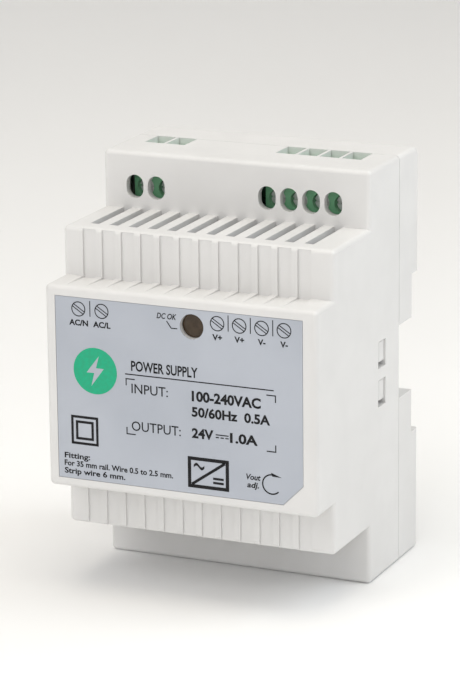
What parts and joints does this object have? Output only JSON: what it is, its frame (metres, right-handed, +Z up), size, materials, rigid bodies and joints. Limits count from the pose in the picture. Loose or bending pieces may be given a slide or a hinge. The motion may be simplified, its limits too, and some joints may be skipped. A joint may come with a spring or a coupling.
{
  "type": "din rail power supply",
  "caption": "Modular power supply that clips to a 35 mm rail: stepped grey case, vented ledges, screw terminals for mains in and low voltage out, status window and sprung rail latch.",
  "frame": {"origin": "on the rail's centreline, in the plane where the rail's rims bear on the case, midway across the case", "axes": "+Z up along the case height, +X to the right seen from the front, +Y back towards the rail"},
  "size_m": [0.0612, 0.0569, 0.09],
  "materials": {
    "case_plastic": "fine moulded texture",
    "latch_plastic": "satin",
    "label_film": "satin printed film",
    "smoked_window": "smoked, clear",
    "terminal_green": "satin",
    "screw_steel": "zinc plated",
    "cage_steel": "nickel plated",
    "tinned_copper": "tinned",
    "spring_steel": "drawn wire",
    "board_green": "solder resist",
    "insulating_film": "thin sheet",
    "fuse_black": "moulded",
    "disc_blue": "dipped",
    "disc_green": "dipped",
    "film_yellow": "moulded box",
    "ferrite": "sintered",
    "copper_wire": "enamelled",
    "epoxy_black": "moulded",
    "can_sleeve": "shrunk sleeve",
    "heatsink": "bare",
    "bobbin_plastic": "moulded",
    "tape_yellow": "polyester tape",
    "resistor_grey": "lacquered",
    "led_green": "clear lens",
    "trimmer_blue": "moulded",
    "rotor_white": "moulded"
  },
  "bodies": {
    "case": {"front_cover": "case_plastic", "rear_base": "case_plastic", "front_label": "label_film", "light_pipe": "smoked_window", "latch_spring": "spring_steel", "main_board": "board_green", "board_screws": "screw_steel", "insulating_sheet": "insulating_film", "input_terminal_block": "terminal_green", "output_terminal_block": "terminal_green", "input_contact_bars": "tinned_copper", "output_contact_bars": "tinned_copper", "fuse": "fuse_black", "varistor": "disc_blue", "inrush_thermistor": "disc_green", "x_capacitor": "film_yellow", "line_choke_core": "ferrite", "line_choke_windings": "copper_wire", "bridge_rectifier": "epoxy_black", "bulk_capacitor": "can_sleeve", "primary_heatsink": "heatsink", "primary_switch": "epoxy_black", "secondary_heatsink": "heatsink", "output_rectifier": "epoxy_black", "transformer_core": "ferrite", "transformer_bobbin": "bobbin_plastic", "transformer_winding": "copper_wire", "transformer_tape": "tape_yellow", "output_capacitor_1": "can_sleeve", "output_capacitor_2": "can_sleeve", "output_choke_core": "ferrite", "output_choke_winding": "copper_wire", "optocoupler": "epoxy_black", "y_capacitor": "disc_blue", "snubber_resistor": "resistor_grey", "control_chip": "epoxy_black", "status_led": "led_green", "trimmer_body": "trimmer_blue"},
    "latch": {"din_latch": "latch_plastic"},
    "adjuster": {"trimmer_rotor": "rotor_white"},
    "clamp_screw_1": {"terminal_screw_1": "screw_steel"},
    "cage_1": {"clamp_cage_1": "cage_steel"},
    "clamp_screw_2": {"terminal_screw_2": "screw_steel"},
    "cage_2": {"clamp_cage_2": "cage_steel"},
    "clamp_screw_3": {"terminal_screw_3": "screw_steel"},
    "cage_3": {"clamp_cage_3": "cage_steel"},
    "clamp_screw_4": {"terminal_screw_4": "screw_steel"},
    "cage_4": {"clamp_cage_4": "cage_steel"},
    "clamp_screw_5": {"terminal_screw_5": "screw_steel"},
    "cage_5": {"clamp_cage_5": "cage_steel"},
    "clamp_screw_6": {"terminal_screw_6": "screw_steel"},
    "cage_6": {"clamp_cage_6": "cage_steel"}
  },
  "joints": [
    {"name": "latch_slide", "type": "slide", "parent": "case", "child": "latch", "axis": [0, 0, -1], "range_m": [0, 0.0035], "stiffness_N_per_m": 1500, "springref_m": -0.002, "deforming": ["latch_spring"]},
    {"name": "screw_turn_1", "type": "hinge", "parent": "case", "child": "clamp_screw_1", "pos_m": [-0.0233, -0.0156, 0.03625], "axis": [0, 1, 0], "range_deg": [0, 1441]},
    {"name": "cage_climb_1", "type": "slide", "parent": "case", "child": "cage_1", "axis": [0, -1, 0], "range_m": [0, 0.002]},
    {"name": "screw_turn_2", "type": "hinge", "parent": "case", "child": "clamp_screw_2", "pos_m": [-0.0183, -0.0156, 0.03625], "axis": [0, 1, 0], "range_deg": [0, 1441]},
    {"name": "cage_climb_2", "type": "slide", "parent": "case", "child": "cage_2", "axis": [0, -1, 0], "range_m": [0, 0.002]},
    {"name": "screw_turn_3", "type": "hinge", "parent": "case", "child": "clamp_screw_3", "pos_m": [0.0073, -0.0156, 0.03625], "axis": [0, 1, 0], "range_deg": [0, 1441]},
    {"name": "cage_climb_3", "type": "slide", "parent": "case", "child": "cage_3", "axis": [0, -1, 0], "range_m": [0, 0.002]},
    {"name": "screw_turn_4", "type": "hinge", "parent": "case", "child": "clamp_screw_4", "pos_m": [0.0123, -0.0156, 0.03625], "axis": [0, 1, 0], "range_deg": [0, 1441]},
    {"name": "cage_climb_4", "type": "slide", "parent": "case", "child": "cage_4", "axis": [0, -1, 0], "range_m": [0, 0.002]},
    {"name": "screw_turn_5", "type": "hinge", "parent": "case", "child": "clamp_screw_5", "pos_m": [0.0173, -0.0156, 0.03625], "axis": [0, 1, 0], "range_deg": [0, 1441]},
    {"name": "cage_climb_5", "type": "slide", "parent": "case", "child": "cage_5", "axis": [0, -1, 0], "range_m": [0, 0.002]},
    {"name": "screw_turn_6", "type": "hinge", "parent": "case", "child": "clamp_screw_6", "pos_m": [0.0223, -0.0156, 0.03625], "axis": [0, 1, 0], "range_deg": [0, 1441]},
    {"name": "cage_climb_6", "type": "slide", "parent": "case", "child": "cage_6", "axis": [0, -1, 0], "range_m": [0, 0.002]},
    {"name": "voltage_adjust", "type": "hinge", "parent": "case", "child": "adjuster", "pos_m": [0.022, -0.0101, -0.042], "axis": [0, 0, 1], "range_deg": [-135, 135]}
  ],
  "couplings": [
    {"joint": "screw_turn_1", "follows": "cage_climb_1", "rad_per_m": 12566},
    {"joint": "screw_turn_2", "follows": "cage_climb_2", "rad_per_m": 12566},
    {"joint": "screw_turn_3", "follows": "cage_climb_3", "rad_per_m": 12566},
    {"joint": "screw_turn_4", "follows": "cage_climb_4", "rad_per_m": 12566},
    {"joint": "screw_turn_5", "follows": "cage_climb_5", "rad_per_m": 12566},
    {"joint": "screw_turn_6", "follows": "cage_climb_6", "rad_per_m": 12566}
  ]
}
